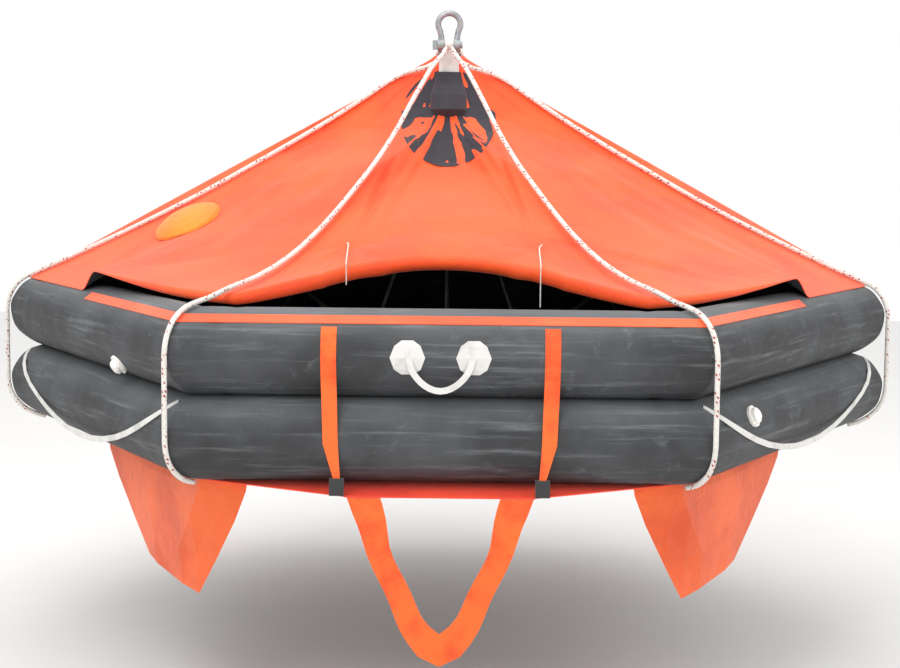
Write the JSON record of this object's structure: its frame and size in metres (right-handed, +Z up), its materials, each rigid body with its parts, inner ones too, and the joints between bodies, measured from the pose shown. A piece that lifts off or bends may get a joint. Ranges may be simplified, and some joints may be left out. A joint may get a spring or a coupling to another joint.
{
  "type": "inflatable life raft",
  "caption": "Hexagonal davit-launched inflatable life raft with twin black tubes and an orange canopy, hanging from its lifting shackle.",
  "frame": {"origin": "seat of the hoisting hook inside the lifting shackle's bow, on the raft's vertical axis", "axes": "+X towards the raft's right-hand corner seen from the entrance, +Y away from the entrance, +Z up"},
  "size_m": [3.811, 3.3554, 2.3691],
  "materials": {
    "galvanised_steel": "zinc-coated forged steel, dull grey",
    "canopy_orange": "coated canopy cloth, bright orange",
    "band_orange": "coated cloth, yellower orange, satin",
    "strap_orange": "woven webbing and coated cloth, orange",
    "pocket_orange": "thin coated cloth, orange",
    "tube_rubber": "scuffed charcoal rubberised cloth",
    "patch_black": "dark navy-black coated cloth and webbing",
    "rope_white": "braided white rope with red flecks",
    "webbing_white": "grey-white webbing",
    "webbing_grey": "grey webbing and thin line",
    "valve_plastic": "white moulded plastic",
    "cylinder_paint": "dark green paint, satin"
  },
  "bodies": {
    "shackle": {"shackle_bow": "galvanised_steel", "shackle_pin": "galvanised_steel"},
    "raft": {"lifting_strap": "webbing_white", "grab_handle": "webbing_white", "canopy_panel_back_right": "canopy_orange", "canopy_panel_back": "canopy_orange", "canopy_panel_back_left": "canopy_orange", "canopy_panel_front_left": "canopy_orange", "canopy_panel_front": "canopy_orange", "canopy_panel_front_right": "canopy_orange", "entrance_flap": "canopy_orange", "entrance_band": "canopy_orange", "collar_patch": "patch_black", "strap_sleeve": "patch_black", "ramp_buckle_left": "patch_black", "ramp_buckle_right": "patch_black", "upper_buoyancy_tube": "tube_rubber", "lower_buoyancy_tube": "tube_rubber", "floor": "tube_rubber", "suspension_rope_right": "rope_white", "suspension_rope_back_right": "rope_white", "suspension_rope_back_left": "rope_white", "suspension_rope_left": "rope_white", "suspension_rope_front_left": "rope_white", "suspension_rope_front_right": "rope_white", "flap_tie_left": "rope_white", "flap_tie_right": "rope_white", "boarding_strap_left": "strap_orange", "boarding_strap_right": "strap_orange", "boarding_ramp": "strap_orange", "ballast_pocket_front_left": "pocket_orange", "ballast_pocket_front_right": "pocket_orange", "ballast_pocket_back_left": "pocket_orange", "ballast_pocket_back_right": "pocket_orange", "valve_left": "valve_plastic", "valve_right": "valve_plastic", "lookout_port": "band_orange", "lifeline_back_right": "webbing_white", "lifeline_back": "webbing_white", "lifeline_back_left": "webbing_white", "lifeline_front_left": "webbing_white", "lifeline_front_right": "webbing_white", "inner_lifeline_back_right": "webbing_grey", "inner_lifeline_back": "webbing_grey", "inner_lifeline_back_left": "webbing_grey", "inner_lifeline_front_left": "webbing_grey", "inner_lifeline_front_right": "webbing_grey", "inner_hub": "webbing_grey", "floor_line_1": "webbing_grey", "floor_line_2": "webbing_grey", "floor_line_3": "webbing_grey", "floor_line_4": "webbing_grey", "floor_line_5": "webbing_grey", "floor_line_6": "webbing_grey", "gas_cylinder": "cylinder_paint"},
    "boarding_loop": {"boarding_loop": "strap_orange"}
  },
  "joints": [
    {"name": "hoist_swing", "type": "hinge", "parent": "shackle", "child": "raft", "pos_m": [0, 0, -0.12], "axis": [1, 0, 0], "range_deg": [-20, 20]},
    {"name": "ladder_swing", "type": "hinge", "parent": "raft", "child": "boarding_loop", "pos_m": [0, -1.62, -1.745], "axis": [-1, 0, 0], "range_deg": [-40, 75]}
  ]
}
